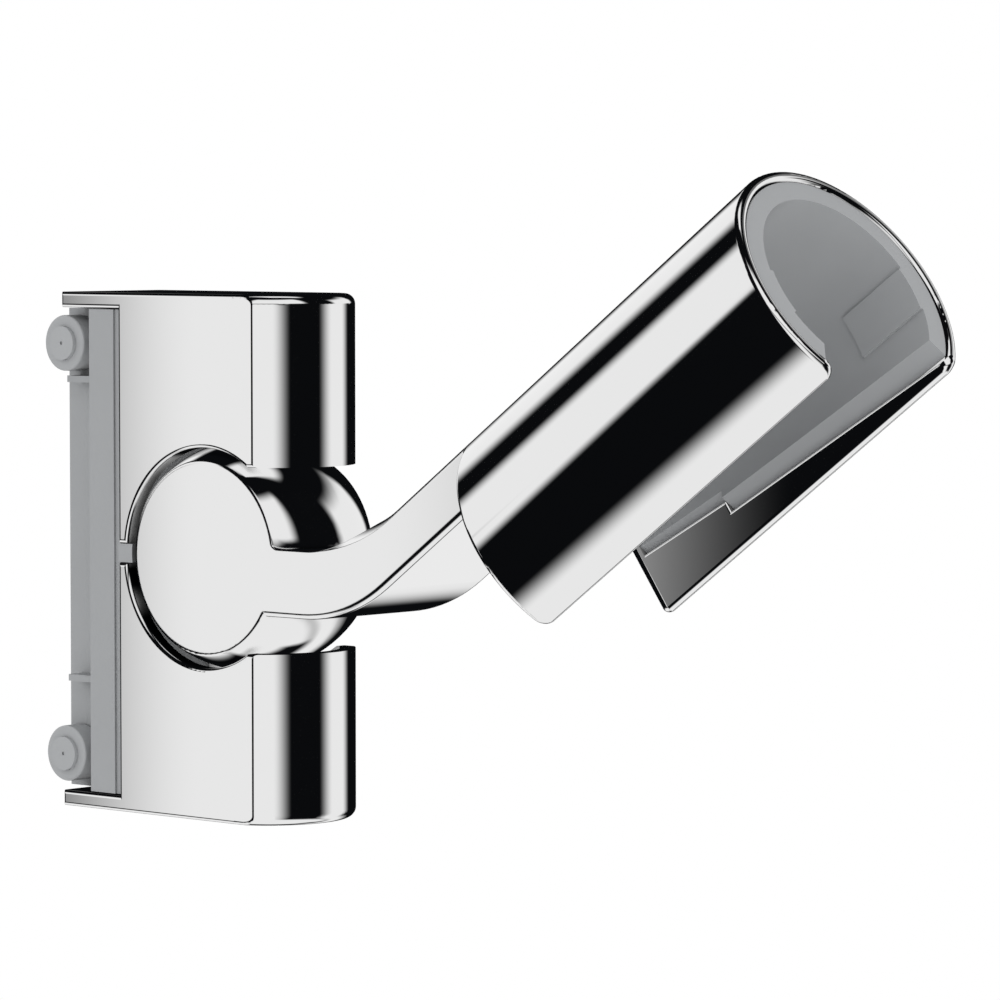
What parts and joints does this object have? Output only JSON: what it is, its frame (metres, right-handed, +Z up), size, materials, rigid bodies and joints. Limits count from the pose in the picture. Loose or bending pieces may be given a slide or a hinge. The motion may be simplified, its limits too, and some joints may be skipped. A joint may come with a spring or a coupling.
{
  "type": "shower rail slider",
  "caption": "Chrome slider that rolls along a wall rail and carries a tilting arm with a slotted, lined sleeve that holds a hand shower.",
  "frame": {"origin": "on the rail's running face, which the rollers touch, at the middle of the slider's height", "axes": "+X away from the rail towards the holder, +Y across the rail along the tilt axis, +Z up the rail"},
  "size_m": [0.1384, 0.0344, 0.0857],
  "materials": {
    "chrome": "polished",
    "grey_plastic": "satin",
    "liner_plastic": "satin",
    "brake_rubber": "matt",
    "steel": "turned",
    "bush_plastic": "satin"
  },
  "bodies": {
    "slider": {"upper_cover": "chrome", "lower_cover": "chrome", "carriage": "grey_plastic", "brake_pad": "brake_rubber", "cover_screws": "steel", "near_pivot_bush": "bush_plastic", "far_pivot_bush": "bush_plastic"},
    "holder": {"arm": "chrome", "hub_cap": "chrome", "pivot_pin": "steel", "near_friction_washer": "bush_plastic", "far_friction_washer": "bush_plastic", "spring_washer": "steel", "pivot_clip": "steel", "sleeve": "chrome", "liner": "liner_plastic", "liner_screws": "steel"},
    "upper_wheels": {"upper_axle": "steel", "upper_near_roller": "grey_plastic", "upper_far_roller": "grey_plastic"},
    "lower_wheels": {"lower_axle": "steel", "lower_near_roller": "grey_plastic", "lower_far_roller": "grey_plastic"}
  },
  "joints": [
    {"name": "arm_tilt", "type": "hinge", "parent": "slider", "child": "holder", "pos_m": [0.0314, 0, 0], "axis": [0, -1, 0], "range_deg": [-16, 24]},
    {"name": "upper_roll", "type": "hinge", "parent": "slider", "child": "upper_wheels", "pos_m": [0.0038, 0, 0.028], "axis": [0, 1, 0], "continuous": true},
    {"name": "lower_roll", "type": "hinge", "parent": "slider", "child": "lower_wheels", "pos_m": [0.0038, 0, -0.028], "axis": [0, 1, 0], "continuous": true}
  ]
}
